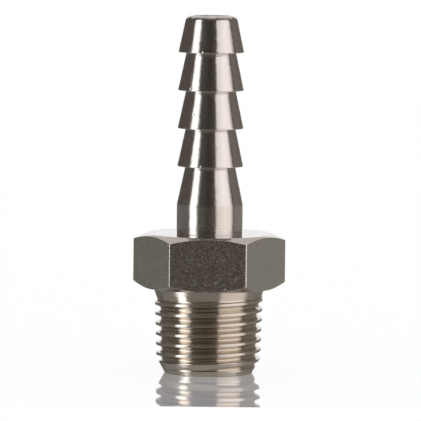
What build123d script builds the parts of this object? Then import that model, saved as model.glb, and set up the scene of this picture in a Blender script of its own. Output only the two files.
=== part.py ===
from build123d import *

import os
from math import atan, ceil, cos, degrees, radians, sqrt, tan

os.makedirs("parts", exist_ok=True)

# Hose barb tail: R 1/8 male taper thread, 12 mm hexagon and a barbed stem for a 5 mm hose,
# turned in one piece from hexagon bar. The axis is Z, with the barbs up. The origin is the
# centre of the threaded end face, and two of the hexagon's flats face -Y and +Y. Millimetres.

# Waterway, straight from end to end
bore_diameter = 3.2
bore_mouth_break = 0.15

# Barbed stem: a barb's flank climbs from its root to a narrow land, and its back is square
barb_count = 4
barb_diameter = 5.9
barb_pitch = 3.42
barb_half_angle = 12.0
barb_land = 0.1
tip_length = 3.29
tip_edge_radius = 0.5
neck_diameter = 5.94
neck_length = 2.63
neck_foot_radius = 0.05

# Hexagon, crowned at both ends
hex_across_flats = 11.9
hex_height = 4.88
hex_crown_angle = 30.0
hex_crown_margin = 0.05

# Threaded stub: R 1/8, 28 threads per inch, tapering 1 in 16 on the diameter.
# The blank is turned under the basic diameter, which leaves the crests flat.
stub_length = 7.74
thread_pitch = 0.907
thread_angle = 55.0
thread_taper = 1 / 16
gauge_length = 4.0
gauge_diameter = 9.728
crest_flattening = 0.084
first_crest_height = 0.36
thread_end_gap = 0.79
thread_end_chamfer = 0.35
lead_chamfer_angle = 29.0
lead_face_step = 0.22

# Shoulder cone that the thread runs out into, under the hexagon
shoulder_half_angle = 20.0
shoulder_step = 0.15

# Whitworth form: the full depth follows the pitch, and the rounded root is cut as a flat
thread_depth = 0.640327 * thread_pitch
root_flat = thread_pitch / 6
flank_angle = radians(thread_angle / 2)
cone_slope = thread_taper / 2

# Heights
hex_top = stub_length + hex_height
neck_top = hex_top + neck_length
rim_heights = [neck_top + (i + 1) * barb_pitch for i in range(barb_count)]
tip_top = rim_heights[-1] + tip_length
thread_end = stub_length - thread_end_gap

# Radii
bore_radius = bore_diameter / 2
barb_radius = barb_diameter / 2
neck_radius = neck_diameter / 2
barb_slope = tan(radians(barb_half_angle))


def crest_radius(height):
    """Radius of the turned blank, and so of the flat crests, at a height."""
    return gauge_diameter / 2 - crest_flattening + (height - gauge_length) * cone_slope


def root_radius_at(height):
    """Radius of the thread's roots at a height."""
    return gauge_diameter / 2 - thread_depth + (height - gauge_length) * cone_slope


# Threaded stub by itself: the tapered blank, then one helical groove cut up it
lead_face_radius = root_radius_at(0) - lead_face_step
lead_slope = tan(radians(lead_chamfer_angle))
lead_height = (crest_radius(0) - lead_face_radius) / (lead_slope - cone_slope)
blank_top = thread_end + thread_end_chamfer

groove_bottom = first_crest_height - 1.5 * thread_pitch
groove_turns = ceil((blank_top + thread_pitch - groove_bottom) / thread_pitch)

# The groove's section: a flat root, and flanks that carry on to just outside the crests
groove_depth = thread_depth - crest_flattening
root_half_width = root_flat / 2
overcut = (thread_pitch / 2 - root_half_width - groove_depth * tan(flank_angle)) / 2
mouth_half_width = thread_pitch / 2 - overcut
groove_corners = [
    (-groove_depth, -root_half_width),
    (-groove_depth, root_half_width),
    (overcut / tan(flank_angle), mouth_half_width),
    (overcut / tan(flank_angle), -mouth_half_width),
]


def groove_turn(height):
    """One turn of the groove, a solid that starts over +X with its middle at a height.

    Its four sides are helicoids ruled between helices on the thread's taper. A helix's pitch is
    measured along the cone, so it is the axial pitch over the cosine of the cone's angle.
    """
    cone_angle = atan(cone_slope)
    helices = [
        Edge.make_helix(
            pitch=thread_pitch / cos(cone_angle),
            height=thread_pitch,
            radius=crest_radius(height) + outward,
            center=(0, 0, height + upward),
            angle=degrees(cone_angle),
        )
        for outward, upward in groove_corners
    ]
    sides = [
        Face.make_surface_from_curves(helix, following)
        for helix, following in zip(helices, helices[1:] + helices[:1])
    ]
    ends = [Face(Wire.make_polygon([helix @ end for helix in helices])) for end in (0, 1)]
    return Solid(Shell(sides + ends))


with BuildPart() as stub:
    with BuildSketch(Plane.XZ):
        with BuildLine():
            Polyline(
                (0, 0),
                (lead_face_radius, 0),
                (crest_radius(lead_height), lead_height),
                (crest_radius(thread_end), thread_end),
                (crest_radius(thread_end) - thread_end_chamfer, blank_top),
                (0, blank_top),
                close=True,
            )
        make_face()
    revolve(axis=Axis.Z)

    # The groove is cut a turn at a time, from a turn below the end face to a turn above the
    # blank, so that it is open at both ends
    for turn in range(groove_turns):
        add(groove_turn(groove_bottom + turn * thread_pitch), mode=Mode.SUBTRACT)

with BuildPart() as hose_barb_tail:
    # Hexagon bar, crowned by a cone at each end
    with BuildSketch(Plane.XY.offset(stub_length)):
        RegularPolygon(radius=hex_across_flats / 2, side_count=6, major_radius=False)
    extrude(amount=hex_height)
    crown_inner = hex_across_flats / 2 - hex_crown_margin
    crown_outer = hex_across_flats / sqrt(3) + hex_crown_margin
    crown_drop = (crown_outer - crown_inner) * tan(radians(hex_crown_angle))
    with BuildSketch(Plane.XZ):
        with BuildLine():
            Polyline(
                (0, stub_length),
                (crown_inner, stub_length),
                (crown_outer, stub_length + crown_drop),
                (crown_outer, hex_top - crown_drop),
                (crown_inner, hex_top),
                (0, hex_top),
                close=True,
            )
        make_face()
    revolve(axis=Axis.Z, mode=Mode.INTERSECT)

    # Barbed stem: plain neck, a cone up from it, then the barbs, the last of them the tip
    stem_profile = [
        (0, hex_top),
        (neck_radius, hex_top),
        (neck_radius, neck_top),
        (neck_radius - barb_pitch * barb_slope, neck_top + barb_pitch),
    ]
    for rim in rim_heights:
        flank_length = (tip_length if rim == rim_heights[-1] else barb_pitch) - barb_land
        stem_profile += [
            (barb_radius, rim),
            (barb_radius, rim + barb_land),
            (barb_radius - flank_length * barb_slope, rim + barb_land + flank_length),
        ]
    stem_profile += [(0, tip_top)]
    with BuildSketch(Plane.XZ) as stem_section:
        with BuildLine():
            Polyline(*stem_profile, close=True)
        make_face()
        fillet(stem_section.vertices().group_by(Axis.Y)[-1].sort_by(Axis.X)[-1], tip_edge_radius)
    revolve(axis=Axis.Z)
    neck_foot = hose_barb_tail.edges().filter_by(GeomType.CIRCLE).filter_by_position(
        Axis.Z, hex_top, hex_top
    )
    fillet(neck_foot.sort_by(SortBy.RADIUS)[0], neck_foot_radius)

    # Shoulder cone, from the hexagon down until it sinks below the thread's roots
    shoulder_slope = tan(radians(shoulder_half_angle))
    shoulder_radius = crest_radius(stub_length) + shoulder_step
    shoulder_drop = (shoulder_radius - root_radius_at(stub_length) + shoulder_step) / (
        shoulder_slope - cone_slope
    )
    with BuildSketch(Plane.XZ):
        with BuildLine():
            Polyline(
                (0, stub_length - shoulder_drop),
                (shoulder_radius - shoulder_drop * shoulder_slope, stub_length - shoulder_drop),
                (shoulder_radius, stub_length),
                (0, stub_length),
                close=True,
            )
        make_face()
    revolve(axis=Axis.Z)
    add(stub.part)

    # Waterway, with both mouths broken
    with Locations((0, 0, tip_top)):
        Hole(radius=bore_radius)
    round_edges = hose_barb_tail.edges().filter_by(GeomType.CIRCLE)
    mouths = round_edges.filter_by(lambda edge: abs(edge.radius - bore_radius) < 1e-6)
    chamfer(mouths, length=bore_mouth_break)

hose_barb_tail.part.label = "hose_barb_tail"
export_step(hose_barb_tail.part, "parts/hose_barb_tail.step")
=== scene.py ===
"""Hose barb tail: the nickel-plated turned fitting, its studio and its camera.

The CAD node is replaced by one closed skin of the same form, with the fine things that a turned
and plated part has: broken edges, rounded thread roots and tool marks. The part's sizes are in
millimetres, and become metres where a vertex is written. The studio and the camera are in metres.
"""

import math

import bpy
from mathutils import Matrix, Vector


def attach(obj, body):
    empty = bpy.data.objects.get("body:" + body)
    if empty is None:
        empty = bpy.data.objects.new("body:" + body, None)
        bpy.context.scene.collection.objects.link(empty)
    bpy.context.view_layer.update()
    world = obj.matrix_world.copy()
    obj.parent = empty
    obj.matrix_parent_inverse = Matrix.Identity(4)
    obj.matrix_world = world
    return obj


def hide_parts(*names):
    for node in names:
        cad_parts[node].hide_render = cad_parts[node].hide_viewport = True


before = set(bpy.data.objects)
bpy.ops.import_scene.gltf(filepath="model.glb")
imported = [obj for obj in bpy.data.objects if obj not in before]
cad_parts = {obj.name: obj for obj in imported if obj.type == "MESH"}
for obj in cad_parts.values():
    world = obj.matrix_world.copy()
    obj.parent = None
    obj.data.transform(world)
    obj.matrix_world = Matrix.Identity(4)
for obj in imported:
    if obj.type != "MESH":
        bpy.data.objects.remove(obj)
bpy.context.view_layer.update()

MM = 0.001


def slope(degrees):
    return math.tan(math.radians(degrees))


# ---------------------------------------------------------------- sizes, as in the CAD part
BORE_R = 1.6
BORE_MOUTH = 0.15
END_FACE_R = 3.9428
LEAD = slope(29)

PITCH = 0.907
CONE = 1 / 32
GAUGE = 4.0
CREST_AT_GAUGE = 4.78
GROOVE_DEPTH = 0.4968
FLANK_ANGLE = math.radians(27.5)
FIRST_CREST = 0.36
THREAD_END = 6.95

STUB_TOP = 7.74
SHOULDER = slope(20)
SHOULDER_STEP = 0.15

HEX_TOP = 12.62
APOTHEM = 5.95
CROWN = slope(30)
CROWN_START = APOTHEM - 0.05

NECK_R = 2.97
NECK_TOP = 15.25
BARB_COUNT = 4
BARB_R = 2.95
BARB_PITCH = 3.42
BARB_LAND = 0.1
BARB_FLANK = slope(12)
TIP = 32.22

# ---------------------------------------------------------------- forms of the skin alone
# The crown over the hexagon is a little wider and flatter than the CAD's
TOP_CROWN = 0.46
TOP_CROWN_START = 5.66
# Radii of the hexagon's long edges, the thread's crest edges and its roots
HEX_EDGE = 0.16
CREST_EDGE = 0.035
ROOT_RADIUS = 0.1245
# Radii of the other broken edges, and of the hollows between one turned face and the next
EDGE = 0.05
MOUTH_RIM = 0.04
STUB_EDGE = 0.06
NECK_FOOT = 0.01
NECK_HEAD = 0.6
BARB_RIM = 0.045
BARB_FOOT = 0.07
TIP_ROUND = 0.5
# Widths over which one turned face of the stub blends into the next
LEAD_BLEND = 0.05
THREAD_END_BLEND = 0.08
SHOULDER_BLEND = 0.06
# The thread's rows lie between these two level rings, and keep a little clear of them
LOW_RING = 0.36
HIGH_RING = 7.32
RING_GAP = 0.004
# Turns of the helix that reach the space between the rings
TURNS = range(-1, 9)
# A row counts as in the groove from this depth
GROOVE_FROM = 0.03

# Material slots of the skin
TURNED, HEXAGON, THREAD, BLANK = range(4)


def crest(z):
    return CREST_AT_GAUGE + (z - GAUGE) * CONE


SHOULDER_R = crest(STUB_TOP) + SHOULDER_STEP


def hex_radius(deg):
    """Radius of the hexagon at an angle, with its long edges rounded. Corners lie over +X."""
    off_corner = abs((deg + 30) % 60 - 30)
    centre = (APOTHEM - HEX_EDGE) / math.cos(math.radians(30))
    rim = centre + HEX_EDGE * math.cos(math.radians(30))
    reach = math.degrees(math.atan2(HEX_EDGE * math.sin(math.radians(30)), rim))
    if off_corner < reach:
        aside = centre * math.sin(math.radians(off_corner))
        ahead = centre * math.cos(math.radians(off_corner))
        return ahead + math.sqrt(HEX_EDGE * HEX_EDGE - aside * aside)
    return APOTHEM / math.cos(math.radians(30 - off_corner))


def soft_min(a, b, blend):
    near = max(blend - abs(a - b), 0) / blend
    return min(a, b) - near * near * blend / 4


def soft_max(a, b, blend):
    return -soft_min(-a, -b, blend)


# ---------------------------------------------------------------- the thread's section
# From the rounds to the rows that hold them: along the flat, and in depth on the flank's two ends
FLAT_HOLD = 0.03
FLANK_HOLD = 0.03
ROOT_HOLD = 0.02
EDGE_STEPS = 3
ROOT_STEPS = 4


def groove_table():
    """(offset from a crest's middle, depth) over one pitch: flat crest, flank, rounded root."""
    run = math.tan(FLANK_ANGLE)
    root_depth = GROOVE_DEPTH - ROOT_RADIUS
    half_flat = PITCH / 2 - (root_depth + ROOT_RADIUS / math.sin(FLANK_ANGLE)) * run
    bend = math.pi / 2 - FLANK_ANGLE
    edge_start = half_flat - CREST_EDGE * math.tan(bend / 2)
    points = [(0.0, 0.0), (edge_start - FLAT_HOLD, 0.0)]
    for i in range(EDGE_STEPS + 1):
        t = bend * i / EDGE_STEPS
        offset = edge_start + CREST_EDGE * math.sin(t)
        points.append((offset, CREST_EDGE - CREST_EDGE * math.cos(t)))
    edge_end, edge_depth = points[-1]
    points.append((edge_end + FLANK_HOLD * run, edge_depth + FLANK_HOLD))
    root_start = PITCH / 2 - ROOT_RADIUS * math.cos(FLANK_ANGLE)
    start_depth = root_depth + ROOT_RADIUS * math.sin(FLANK_ANGLE)
    points.append((root_start - ROOT_HOLD * run, start_depth - ROOT_HOLD))
    for i in range(ROOT_STEPS):
        t = FLANK_ANGLE + bend * i / ROOT_STEPS
        offset = PITCH / 2 - ROOT_RADIUS * math.cos(t)
        points.append((offset, root_depth + ROOT_RADIUS * math.sin(t)))
    points.append((PITCH / 2, GROOVE_DEPTH))
    mirrored = [(-offset, depth) for offset, depth in points[1:-1]]
    return sorted(mirrored + points)


GROOVE = groove_table()
PER_TURN = len(GROOVE)


def thread_radius(z, depth):
    """Radius of the stub at a height, with the groove cut to a depth below its crests."""
    lead = END_FACE_R + z * LEAD
    end_chamfer = crest(THREAD_END) - (z - THREAD_END)
    blank = soft_min(soft_min(crest(z), lead, LEAD_BLEND), end_chamfer, THREAD_END_BLEND)
    shoulder = SHOULDER_R - (STUB_TOP - z) * SHOULDER
    return soft_max(min(blank, crest(z) - depth), shoulder, SHOULDER_BLEND)


def thread_column(deg):
    """Rows (key, r, z, in groove) of the thread at an angle. The key counts rows up the helix."""
    rows = []
    for turn in TURNS:
        middle = FIRST_CREST + PITCH * (deg / 360 + turn)
        for k, (offset, depth) in enumerate(GROOVE):
            z = middle + offset
            if LOW_RING + RING_GAP < z < HIGH_RING - RING_GAP:
                radius = thread_radius(z, depth)
                grooved = thread_radius(z, 0) - radius > GROOVE_FROM
                rows.append((turn * PER_TURN + k, radius, z, grooved))
    return rows


# ---------------------------------------------------------------- turned sections
# A round takes up at most this share of each side of its corner
MOST_OF_SIDE = 0.8
# A holding row stands at most this far from its round, and this share of the side that is left
HOLD = 0.04
HOLD_SHARE = 0.3
# Depth of the bore's wall that is drawn in rows at each mouth
MOUTH_DEPTH = 1.2


def rounded(points):
    """Rounds each (r, z, radius, segments) corner, with a holding row on each side of it."""
    places = [Vector(p[:2]) for p in points]
    cuts = [0.0] * len(points)
    for i in range(1, len(points) - 1):
        radius = points[i][2]
        if radius:
            a = places[i - 1] - places[i]
            b = places[i + 1] - places[i]
            most = MOST_OF_SIDE * min(a.length, b.length)
            cuts[i] = min(radius / math.tan(a.angle(b) / 2), most)
    out = []
    for i, (r, z, radius, segments) in enumerate(points):
        if not radius:
            out.append((r, z))
            continue
        p = places[i]
        cut = cuts[i]
        a = places[i - 1] - p
        b = places[i + 1] - p
        free_a = a.length - cut - cuts[i - 1]
        free_b = b.length - cut - cuts[i + 1]
        a.normalize()
        b.normalize()
        centre = p + (a + b).normalized() * (cut / math.cos(a.angle(b) / 2))
        start = p + a * cut
        end = p + b * cut
        u = start - centre
        v = end - centre
        sweep = u.angle(v)
        out.append(tuple(start + a * min(HOLD, HOLD_SHARE * free_a)))
        for k in range(segments + 1):
            t = k / segments
            w = (u * math.sin((1 - t) * sweep) + v * math.sin(t * sweep)) / math.sin(sweep)
            out.append(tuple(centre + w))
        out.append(tuple(end + b * min(HOLD, HOLD_SHARE * free_b)))
    return out


def lower_rows():
    """From the bore's foot out over the end face to the foot of the thread."""
    return rounded(
        [
            (BORE_R, MOUTH_DEPTH, 0, 0),
            (BORE_R, BORE_MOUTH, EDGE, 2),
            (BORE_R + BORE_MOUTH, 0.0, MOUTH_RIM, 2),
            (END_FACE_R, 0.0, STUB_EDGE, 3),
            (END_FACE_R + LOW_RING * LEAD, LOW_RING, 0, 0),
        ]
    )


def upper_rows(deg):
    """From the head of the thread over the hexagon and up the stem to the bore's foot."""
    h = hex_radius(deg)
    points = [
        (SHOULDER_R - (STUB_TOP - HIGH_RING) * SHOULDER, HIGH_RING, 0, 0),
        (SHOULDER_R, STUB_TOP, STUB_EDGE, 2),
        (CROWN_START, STUB_TOP, EDGE, 2),
        (h, STUB_TOP + (h - CROWN_START) * CROWN, EDGE, 3),
        (h, HEX_TOP - (h - TOP_CROWN_START) * TOP_CROWN, EDGE, 3),
        (TOP_CROWN_START, HEX_TOP, EDGE, 2),
        (NECK_R, HEX_TOP, NECK_FOOT, 1),
        (NECK_R, NECK_TOP, NECK_HEAD, 4),
        (NECK_R - BARB_PITCH * BARB_FLANK, NECK_TOP + BARB_PITCH, BARB_FOOT, 3),
    ]
    for i in range(BARB_COUNT):
        rim = NECK_TOP + (i + 1) * BARB_PITCH
        topmost = i == BARB_COUNT - 1
        head = TIP if topmost else rim + BARB_PITCH
        head_r = BARB_R - (head - rim - BARB_LAND) * BARB_FLANK
        points.append((BARB_R, rim, BARB_RIM, 3))
        points.append((BARB_R, rim + BARB_LAND, EDGE, 2))
        if topmost:
            points.append((head_r, head, TIP_ROUND, 8))
        else:
            points.append((head_r, head, BARB_FOOT, 3))
    points.append((BORE_R + BORE_MOUTH, TIP, MOUTH_RIM, 2))
    points.append((BORE_R, TIP - BORE_MOUTH, EDGE, 2))
    points.append((BORE_R, TIP - MOUTH_DEPTH, 0, 0))
    return rounded(points)


# ---------------------------------------------------------------- the skin
# Degrees between columns, and from a corner of the hexagon to the close columns beside it
COLUMN_STEP = 1.5
BESIDE_CORNER = (0.28, 0.56, 0.95)
# How many of the lower rows, from their start, make up the bore's mouth
MOUTH_ROWS = 10
# How many of the upper rows, at their end, lie on the drilled wall
DRILLED_ROWS = 3
# How far inside the hexagon's ends a row must lie to be on its flats
FLAT_INSET = 0.2
# Slack for the rows at the level of the hexagon's lower face
LEVEL_SLACK = 0.001


def columns():
    """Angles round the part: even steps, and close ones at the hexagon's long edges."""
    angles = [i * COLUMN_STEP for i in range(round(360 / COLUMN_STEP))]
    for corner in range(0, 360, 60):
        for d in BESIDE_CORNER:
            angles.append((corner + d) % 360)
            angles.append((corner - d) % 360)
    return sorted(set(round(a, 4) for a in angles))


def upper_kind(z0, z1, drilled):
    """Material of the face between two of the upper rows."""
    foot, head = STUB_TOP + FLAT_INSET, HEX_TOP - FLAT_INSET
    if foot < z0 < head and foot < z1 < head:
        return HEXAGON
    if drilled or z1 <= STUB_TOP + LEVEL_SLACK:
        return BLANK
    return TURNED


def fan(a, b, face):
    """Triangles between two short runs of vertices up the part, whose ends stand side by side."""
    i = j = 0
    while i < len(a) - 1 or j < len(b) - 1:
        a_done = i == len(a) - 1
        b_behind = (j + 1) * (len(a) - 1) <= (i + 1) * (len(b) - 1)
        if j < len(b) - 1 and (a_done or b_behind):
            face((a[i], b[j], b[j + 1]), BLANK)
            j += 1
        else:
            face((a[i], b[j], a[i + 1]), BLANK)
            i += 1


def build_skin():
    """Columns of rows joined side by side. The thread's rows shift by one turn where they close."""
    verts, faces, kinds = [], [], []
    low, mid, high = [], [], []

    def put(r, z, deg):
        t = math.radians(deg)
        verts.append((r * math.cos(t) * MM, r * math.sin(t) * MM, z * MM))
        return len(verts) - 1

    def face(ids, kind):
        faces.append(ids)
        kinds.append(kind)

    angles = columns()
    for deg in angles:
        low.append([put(r, z, deg) for r, z in lower_rows()])
        mid.append({key: (put(r, z, deg), cut) for key, r, z, cut in thread_column(deg)})
        high.append([put(r, z, deg) for r, z in upper_rows(deg)])
    heights = [z for _, z in upper_rows(0)]

    for i in range(len(angles)):
        j = (i + 1) % len(angles)
        shift = PER_TURN if j == 0 else 0
        for k in range(len(low[i]) - 1):
            kind = TURNED if k < MOUTH_ROWS else BLANK
            face((low[i][k], low[j][k], low[j][k + 1], low[i][k + 1]), kind)
        left = sorted(mid[i])
        right = sorted(key - shift for key in mid[j])
        first, last = max(left[0], right[0]), min(left[-1], right[-1])
        for k in range(first, last):
            kind = THREAD if mid[i][k][1] or mid[i][k + 1][1] else BLANK
            right_low, right_high = mid[j][k + shift][0], mid[j][k + 1 + shift][0]
            face((mid[i][k][0], right_low, right_high, mid[i][k + 1][0]), kind)
        # Between the rings and the first and last rows that both columns share
        a = [low[i][-1]] + [mid[i][k][0] for k in left if k <= first]
        b = [low[j][-1]] + [mid[j][k + shift][0] for k in right if k <= first]
        fan(a, b, face)
        a = [mid[i][k][0] for k in left if k >= last] + [high[i][0]]
        b = [mid[j][k + shift][0] for k in right if k >= last] + [high[j][0]]
        fan(a, b, face)
        for k in range(len(high[i]) - 1):
            drilled = k >= len(high[i]) - DRILLED_ROWS
            kind = upper_kind(heights[k], heights[k + 1], drilled)
            face((high[i][k], high[j][k], high[j][k + 1], high[i][k + 1]), kind)
        # The bore's wall, which closes the skin
        face((high[i][-1], high[j][-1], low[j][0], low[i][0]), BLANK)

    mesh = bpy.data.meshes.new("tail_skin")
    mesh.from_pydata(verts, [], faces)
    mesh.polygons.foreach_set("material_index", kinds)
    mesh.polygons.foreach_set("use_smooth", [True] * len(faces))
    mesh.update()
    return mesh


# ---------------------------------------------------------------- materials
# Turns the blur's direction from round the part to up and down it
QUARTER_TURN = 0.25
# Patches a millimetre in the uneven finish, and the values between which its noise mostly lies
PATCHES = 5.0
NOISE_LOW = 0.35
NOISE_HIGH = 0.65


def new_material(name):
    material = bpy.data.materials.new(name)
    material.use_nodes = True
    material.node_tree.nodes.clear()
    return material, material.node_tree


def node(tree, kind, **values):
    n = tree.nodes.new(kind)
    for key, value in values.items():
        setattr(n, key, value)
    return n


def plated(name, tint, rough, stretch, marks, patchy=0.0):
    """Nickel plate. stretch blurs up and down, across the tool's rings; marks(tree) is its bump.

    patchy makes the roughness uneven by that much each way, from point to point.
    """
    material, tree = new_material(name)
    out = node(tree, "ShaderNodeOutputMaterial")
    bsdf = node(tree, "ShaderNodeBsdfPrincipled")
    bsdf.inputs["Metallic"].default_value = 1.0
    bsdf.inputs["Base Color"].default_value = (*tint, 1)
    bsdf.inputs["Roughness"].default_value = rough
    bsdf.inputs["Anisotropic"].default_value = stretch
    bsdf.inputs["Anisotropic Rotation"].default_value = QUARTER_TURN
    if stretch:
        ring = node(tree, "ShaderNodeTangent", direction_type="RADIAL", axis="Z")
        tree.links.new(ring.outputs[0], bsdf.inputs["Tangent"])
    if patchy:
        tree.links.new(uneven(tree, rough - patchy, rough + patchy), bsdf.inputs["Roughness"])
    tree.links.new(marks(tree), bsdf.inputs["Normal"])
    tree.links.new(bsdf.outputs[0], out.inputs[0])
    return material


def uneven(tree, low, high):
    """A value that wanders between low and high from point to point."""
    place = node(tree, "ShaderNodeTexCoord")
    noise = node(tree, "ShaderNodeTexNoise")
    noise.inputs["Scale"].default_value = PATCHES / MM
    noise.inputs["Detail"].default_value = 2
    level = node(tree, "ShaderNodeMapRange")
    level.inputs["From Min"].default_value = NOISE_LOW
    level.inputs["From Max"].default_value = NOISE_HIGH
    level.inputs["To Min"].default_value = low
    level.inputs["To Max"].default_value = high
    tree.links.new(place.outputs["Object"], noise.inputs["Vector"])
    tree.links.new(noise.outputs[0], level.inputs["Value"])
    return level.outputs[0]


def bump(tree, scale, detail, height, stretch, below=None):
    """Noise bump in the part's own coordinates. scale is in bumps a millimetre, height in mm."""
    place = node(tree, "ShaderNodeTexCoord")
    spread = node(tree, "ShaderNodeMapping")
    spread.inputs["Scale"].default_value = stretch
    noise = node(tree, "ShaderNodeTexNoise")
    noise.inputs["Scale"].default_value = scale / MM
    noise.inputs["Detail"].default_value = detail
    relief = node(tree, "ShaderNodeBump")
    relief.inputs["Strength"].default_value = 1.0
    relief.inputs["Distance"].default_value = height * MM
    tree.links.new(place.outputs["Object"], spread.inputs["Vector"])
    tree.links.new(spread.outputs[0], noise.inputs["Vector"])
    tree.links.new(noise.outputs[0], relief.inputs["Height"])
    if below:
        tree.links.new(below, relief.inputs["Normal"])
    return relief.outputs[0]


def ding(tree, place, size, depth, below):
    """One small dent, placed and sized in millimetres, over whatever bump lies below it."""
    coordinates = node(tree, "ShaderNodeTexCoord")
    gap = node(tree, "ShaderNodeVectorMath", operation="DISTANCE")
    gap.inputs[1].default_value = tuple(value * MM for value in place)
    level = node(tree, "ShaderNodeMapRange", interpolation_type="SMOOTHSTEP")
    level.inputs["From Min"].default_value = 0
    level.inputs["From Max"].default_value = size * MM
    relief = node(tree, "ShaderNodeBump")
    relief.inputs["Strength"].default_value = 1.0
    relief.inputs["Distance"].default_value = depth * MM
    tree.links.new(coordinates.outputs["Object"], gap.inputs[0])
    tree.links.new(gap.outputs["Value"], level.inputs["Value"])
    tree.links.new(level.outputs[0], relief.inputs["Height"])
    tree.links.new(below, relief.inputs["Normal"])
    return relief.outputs[0]


def fine_rings(tree):
    """The finishing tool's rings on the stem, and the nicks on its barbs."""
    worn = bump(tree, 0.8, 2, 0.012, (1, 1, 2))
    worn = bump(tree, 2.5, 2, 0.016, (0.5, 0.5, 4), worn)
    worn = ding(tree, (-0.79, -2.84, 29.02), 0.15, 0.025, worn)
    worn = ding(tree, (-1.75, -2.325, 25.72), 0.14, 0.02, worn)
    worn = ding(tree, (-1.49, -2.228, 23.46), 0.14, 0.02, worn)
    return ding(tree, (-0.87, -2.82, 18.8), 0.14, 0.02, worn)


def coarse_rings(tree):
    """The roughing tool's rings."""
    return bump(tree, 3.0, 2, 0.006, (0.6, 0.6, 3))


def drawn_flats(tree):
    """The grain of drawn bar, and the nicks in the hexagon's front flat."""
    worn = bump(tree, 1.6, 2, 0.014, (1, 1, 0.6))
    worn = bump(tree, 8.0, 1, 0.013, (1, 1, 0.6), worn)
    worn = ding(tree, (1.35, -APOTHEM, 10.66), 0.14, 0.02, worn)
    worn = ding(tree, (2.5, -APOTHEM, 8.96), 0.2, 0.022, worn)
    worn = ding(tree, (0.72, -APOTHEM, 8.6), 0.18, 0.022, worn)
    return ding(tree, (1.61, -APOTHEM, 8.02), 0.22, 0.03, worn)


def turned_nickel():
    """Stem, crowns, the hexagon's top face and the bore's mouths."""
    return plated("turned_nickel", (0.66, 0.63, 0.6), 0.14, 0.3, fine_rings, patchy=0.07)


def hexagon_nickel():
    """The six flats, which keep the grain of the bar."""
    tint = (0.68, 0.655, 0.62)
    return plated("hexagon_nickel", tint, 0.225, 0.0, drawn_flats, patchy=0.085)


def thread_nickel():
    """Flanks and roots of the thread."""
    return plated("thread_nickel", (0.65, 0.59, 0.52), 0.16, 0.4, coarse_rings)


def blank_nickel():
    """What the roughing tool left: crests, chamfers, relief cone, end face, bore and the like."""
    return plated("blank_nickel", (0.66, 0.615, 0.56), 0.24, 0.85, coarse_rings)


skin = bpy.data.objects.new("tail_skin", build_skin())
bpy.context.scene.collection.objects.link(skin)
# In the order of the slots TURNED, HEXAGON, THREAD and BLANK
for finish in (turned_nickel, hexagon_nickel, thread_nickel, blank_nickel):
    skin.data.materials.append(finish())
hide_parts("hose_barb_tail")
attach(skin, "root")


# ---------------------------------------------------------------- cards round the part
# Degrees that the camera stands round towards +X, from square to the front flat
VIEW_TURN = 1.17
STAGE_RADIUS = 0.9
# Degrees between a card's rows of vertices
ACROSS_STEP = 4
UP_STEP = 6
# Limits for the two counts that a ray brings: above none, and below two
NO_VEIL_MET = 0.5
MIRRORED_ONCE = 1.5


def card_mesh(name, bearings, heights, left, right):
    """A patch of the stage's sphere whose tone runs from left to right."""
    width = bearings[1] - bearings[0]
    height = heights[1] - heights[0]
    across_steps = max(2, int(abs(width) / ACROSS_STEP))
    up_steps = max(2, int(abs(height) / UP_STEP))
    verts, faces, tones = [], [], []
    for i in range(across_steps + 1):
        t = i / across_steps
        a = math.radians(-90 + VIEW_TURN + bearings[0] + width * t)
        for j in range(up_steps + 1):
            e = math.radians(heights[0] + height * j / up_steps)
            flat = STAGE_RADIUS * math.cos(e)
            verts.append((flat * math.cos(a), flat * math.sin(a), STAGE_RADIUS * math.sin(e)))
            tones.append([p + (q - p) * t for p, q in zip(left, right)] + [1])
    for i in range(across_steps):
        for j in range(up_steps):
            k = i * (up_steps + 1) + j
            faces.append((k, k + 1, k + up_steps + 2, k + up_steps + 1))
    mesh = bpy.data.meshes.new(name)
    mesh.from_pydata(verts, [], faces)
    tone = mesh.color_attributes.new("tone", "FLOAT_COLOR", "POINT")
    for k, value in enumerate(tones):
        tone.data[k].color = value
    return mesh


def card_material(name):
    """Gives off the card's tone, but lets by a ray that the floor throws straight at it.

    Such a ray has come down through the veil over the floor and has been mirrored once. So the
    floor mirrors the part in front of plain white.
    """
    material, tree = new_material(name)
    out = node(tree, "ShaderNodeOutputMaterial")
    light = node(tree, "ShaderNodeEmission")
    read = node(tree, "ShaderNodeVertexColor", layer_name="tone")
    path = node(tree, "ShaderNodeLightPath")
    veiled = node(tree, "ShaderNodeMath", operation="GREATER_THAN")
    veiled.inputs[1].default_value = NO_VEIL_MET
    once = node(tree, "ShaderNodeMath", operation="LESS_THAN")
    once.inputs[1].default_value = MIRRORED_ONCE
    both = node(tree, "ShaderNodeMath", operation="MULTIPLY")
    clear = node(tree, "ShaderNodeBsdfTransparent")
    mix = node(tree, "ShaderNodeMixShader")
    tree.links.new(read.outputs["Color"], light.inputs["Color"])
    tree.links.new(path.outputs["Transparent Depth"], veiled.inputs[0])
    tree.links.new(path.outputs["Glossy Depth"], once.inputs[0])
    tree.links.new(veiled.outputs[0], both.inputs[0])
    tree.links.new(once.outputs[0], both.inputs[1])
    tree.links.new(both.outputs[0], mix.inputs[0])
    tree.links.new(light.outputs[0], mix.inputs[1])
    tree.links.new(clear.outputs[0], mix.inputs[2])
    tree.links.new(mix.outputs[0], out.inputs[0])
    material.cycles.emission_sampling = "NONE"
    return material


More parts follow.
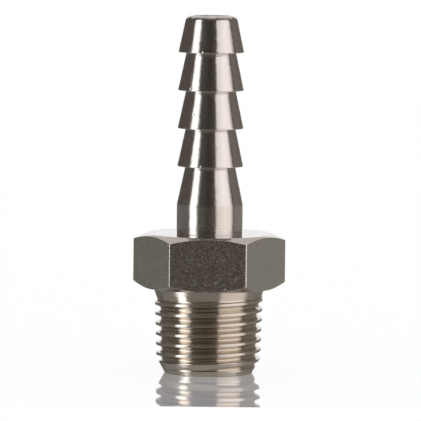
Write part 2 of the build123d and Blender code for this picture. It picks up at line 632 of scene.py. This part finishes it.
def card(name, bearings, heights, left, right=None):
    """A sheet of light or dark round the part, seen by the metal alone.

    Bearings run from the camera's side towards its right and heights upward, both in degrees
    as seen from the part. The tone runs from left to right, or is even if right is left out.
    """
    o = bpy.data.objects.new(name, card_mesh(name, bearings, heights, left, right or left))
    bpy.context.scene.collection.objects.link(o)
    o.data.materials.append(card_material(name))
    o.visible_camera = False
    o.visible_diffuse = False
    o.visible_shadow = False


def cards_at_sides():
    """Round the part at the level of its sides.

    Just above that level the dark cards are darker, and the right softbox is lighter.
    """
    level, over, whole = (-16, 1), (1, 36), (-16, 36)
    over_low, over_high = (1, 16), (16, 36)
    card("front_left", (-44, -5), level, (0.15, 0.145, 0.133), (0.075, 0.063, 0.055))
    card("front_left_over", (-44, -5), over, (0.1, 0.095, 0.088), (0.046, 0.039, 0.031))
    card("front_right", (-5, 22), level, (0.07, 0.057, 0.05), (0.15, 0.13, 0.105))
    card("front_right_over", (-5, 22), over, (0.048, 0.04, 0.033), (0.1, 0.083, 0.072))
    card("softbox_left_edge", (-77, -69), whole, (0.4, 0.4, 0.4), (2.0, 2.0, 2.0))
    card("softbox_left", (-69, -51), whole, (2.0, 2.0, 2.0))
    card("softbox_left_near", (-51, -44), whole, (1.8, 1.8, 1.8), (0.35, 0.35, 0.35))
    card("softbox_right_near", (22, 54), level, (0.9, 0.82, 0.77), (1.17, 1.09, 1.04))
    card("softbox_right_near_over", (22, 54), over, (1.02, 0.97, 0.95), (1.35, 1.27, 1.26))
    card("softbox_right_far", (54, 78), level, (1.17, 1.09, 1.04), (1.12, 1.05, 1.0))
    card("softbox_right_far_over", (54, 78), over, (1.35, 1.27, 1.26), (1.27, 1.19, 1.16))
    card("softbox_right_edge", (78, 88), whole, (1.1, 1.03, 0.99), (0.5, 0.47, 0.44))
    card("side_left_far", (-171, -118), level, (0.165, 0.16, 0.145), (0.185, 0.18, 0.165))
    card("side_left", (-118, -76), level, (0.185, 0.18, 0.165), (0.155, 0.15, 0.13))
    card("side_left_over", (-162, -76), over_low, (0.1, 0.09, 0.082), (0.12, 0.1, 0.09))
    card("side_left_high", (-150, -76), over_high, (0.09, 0.08, 0.072), (0.11, 0.09, 0.08))
    card("side_right_near", (88, 97), level, (0.19, 0.17, 0.14), (0.21, 0.185, 0.155))
    card("side_right_near_over", (88, 97), over, (0.12, 0.1, 0.087), (0.14, 0.12, 0.1))
    card("side_right", (97, 171), level, (0.27, 0.255, 0.22), (0.26, 0.245, 0.23))
    card("side_right_over", (97, 162), over_low, (0.225, 0.2, 0.178), (0.15, 0.135, 0.117))
    card("side_right_high", (97, 150), over_high, (0.2, 0.18, 0.16), (0.14, 0.125, 0.11))


def cards_below():
    """Seen by what slopes down, such as the cone under the hexagon and the lead chamfer."""
    shade, below, whole, under = (-23, -16), (-50, -23), (-50, -16), (-88, -50)
    card("low_front", (-60, 29), whole, (0.21, 0.195, 0.175))
    card("low_softbox_left", (-79, -60), whole, (2.4, 2.4, 2.4))
    card("low_side_left_near", (-171, -79), shade, (0.15, 0.14, 0.13))
    card("low_side_left", (-171, -79), below, (0.25, 0.24, 0.225))
    card("low_softbox_right", (29, 95), whole, (0.9, 0.83, 0.77))
    card("low_side_right_near", (95, 171), shade, (0.18, 0.165, 0.15))
    card("low_side_right", (95, 171), below, (0.28, 0.26, 0.24))
    card("low_back", (171, 189), whole, (0.2, 0.185, 0.165))
    card("under_left", (-180, 22), under, (0.34, 0.31, 0.28))
    card("under_right", (22, 180), under, (0.33, 0.3, 0.27))


def cards_above():
    """Seen by what slopes up. Low at the back there is none, so level top faces mirror white."""
    card("high_front", (-115, 115), (36, 58), (0.1, 0.09, 0.08))
    card("higher_front", (-105, 105), (58, 80), (0.2, 0.185, 0.175))
    card("high_back", (115, 245), (36, 80), (0.64, 0.6, 0.57))
    card("back", (150, 210), (24, 36), (0.64, 0.6, 0.57))
    card("zenith", (-180, 180), (80, 90), (0.85, 0.78, 0.79))


# ---------------------------------------------------------------- floor and world
# The plate's front edge, ahead of the part's axis, and its other edges
FLOOR_FRONT = 0.0258
FLOOR_SIDE = 0.4
FLOOR_BACK = 0.5
# Share of the floor's own tone that is even white to the camera
FLOOR_EVEN = 0.35
FLOOR_ROUGHNESS = 0.03
GLASS_IOR = 1.5
# A coated face mirrors more than bare glass: its mirror share is bare glass's to this power
COATED = 0.41
VEIL_HEIGHT = 0.000005


def floor_material():
    """Pale polished plate: white to the camera, and a mirror at a low angle as glass is."""
    material, tree = new_material("floor_gloss_white")
    out = node(tree, "ShaderNodeOutputMaterial")
    matt = node(tree, "ShaderNodeBsdfDiffuse")
    matt.inputs["Color"].default_value = (0.95, 0.96, 1.0, 1)
    plain = node(tree, "ShaderNodeEmission")
    path = node(tree, "ShaderNodeLightPath")
    share = node(tree, "ShaderNodeMath", operation="MULTIPLY")
    share.inputs[1].default_value = FLOOR_EVEN
    white = node(tree, "ShaderNodeMixShader")
    gloss = node(tree, "ShaderNodeBsdfGlossy")
    gloss.inputs["Color"].default_value = (1, 1, 1, 1)
    gloss.inputs["Roughness"].default_value = FLOOR_ROUGHNESS
    bare = node(tree, "ShaderNodeFresnel")
    bare.inputs["IOR"].default_value = GLASS_IOR
    coated = node(tree, "ShaderNodeMath", operation="POWER")
    coated.inputs[1].default_value = COATED
    mix = node(tree, "ShaderNodeMixShader")
    tree.links.new(path.outputs["Is Camera Ray"], share.inputs[0])
    tree.links.new(share.outputs[0], white.inputs[0])
    tree.links.new(matt.outputs[0], white.inputs[1])
    tree.links.new(plain.outputs[0], white.inputs[2])
    tree.links.new(bare.outputs[0], coated.inputs[0])
    tree.links.new(coated.outputs[0], mix.inputs[0])
    tree.links.new(white.outputs[0], mix.inputs[1])
    tree.links.new(gloss.outputs[0], mix.inputs[2])
    tree.links.new(mix.outputs[0], out.inputs[0])
    return material


def veil_material():
    """Clear, and there only to be counted by the rays that pass down to the floor."""
    material, tree = new_material("veil_clear")
    out = node(tree, "ShaderNodeOutputMaterial")
    clear = node(tree, "ShaderNodeBsdfTransparent")
    tree.links.new(clear.outputs[0], out.inputs[0])
    return material


def plate(name, height, material):
    """A level sheet whose straight front edge crosses square to the camera's line."""
    corners = [
        (-FLOOR_SIDE, -FLOOR_FRONT),
        (FLOOR_SIDE, -FLOOR_FRONT),
        (FLOOR_SIDE, FLOOR_BACK),
        (-FLOOR_SIDE, FLOOR_BACK),
    ]
    spin = Matrix.Rotation(math.radians(VIEW_TURN), 2)
    mesh = bpy.data.meshes.new(name)
    mesh.from_pydata([(*(spin @ Vector(c)), height) for c in corners], [], [(0, 1, 2, 3)])
    o = bpy.data.objects.new(name, mesh)
    bpy.context.scene.collection.objects.link(o)
    o.data.materials.append(material)
    o.visible_glossy = False
    return o


def white_world():
    world = bpy.data.worlds.new("studio")
    bpy.context.scene.world = world
    world.use_nodes = True
    background = world.node_tree.nodes["Background"]
    background.inputs["Color"].default_value = (1, 1, 1, 1)
    background.inputs["Strength"].default_value = 1.0


cards_at_sides()
cards_below()
cards_above()
plate("floor", 0, floor_material())
veil = plate("veil", VEIL_HEIGHT, veil_material())
veil.visible_diffuse = False
veil.visible_shadow = False
white_world()


# ---------------------------------------------------------------- camera
DISTANCE = 0.415
EYE_HEIGHT = 0.0476
AIM_HEIGHT = 0.01466
AIM_ACROSS = 0.00007
ROLL = 0.578
# Metres a pixel at this height on the part's axis, in a picture this many pixels wide
PIXEL = 0.0000902
PIXEL_HEIGHT = 0.010
PICTURE_WIDTH = 421
SENSOR_WIDTH = 36


def place_camera():
    turn = math.radians(VIEW_TURN)
    across = Vector((math.cos(turn), math.sin(turn), 0))
    eye = Vector((DISTANCE * math.sin(turn), -DISTANCE * math.cos(turn), EYE_HEIGHT))
    aim = Vector((0, 0, AIM_HEIGHT)) + across * AIM_ACROSS
    forward = (aim - eye).normalized()
    depth = (Vector((0, 0, PIXEL_HEIGHT)) - eye).dot(forward)
    roll = Matrix.Rotation(math.radians(ROLL), 3, "Z")
    rotation = forward.to_track_quat("-Z", "Y").to_matrix() @ roll
    data = bpy.data.cameras.new("camera")
    data.sensor_width = SENSOR_WIDTH
    data.sensor_fit = "HORIZONTAL"
    data.lens = depth / PIXEL * SENSOR_WIDTH / PICTURE_WIDTH
    data.clip_start = 0.01
    data.clip_end = 20
    camera = bpy.data.objects.new("camera", data)
    camera.matrix_world = Matrix.Translation(eye) @ rotation.to_4x4()
    bpy.context.scene.collection.objects.link(camera)
    bpy.context.scene.camera = camera


place_camera()
bpy.context.scene.view_settings.view_transform = "Standard"
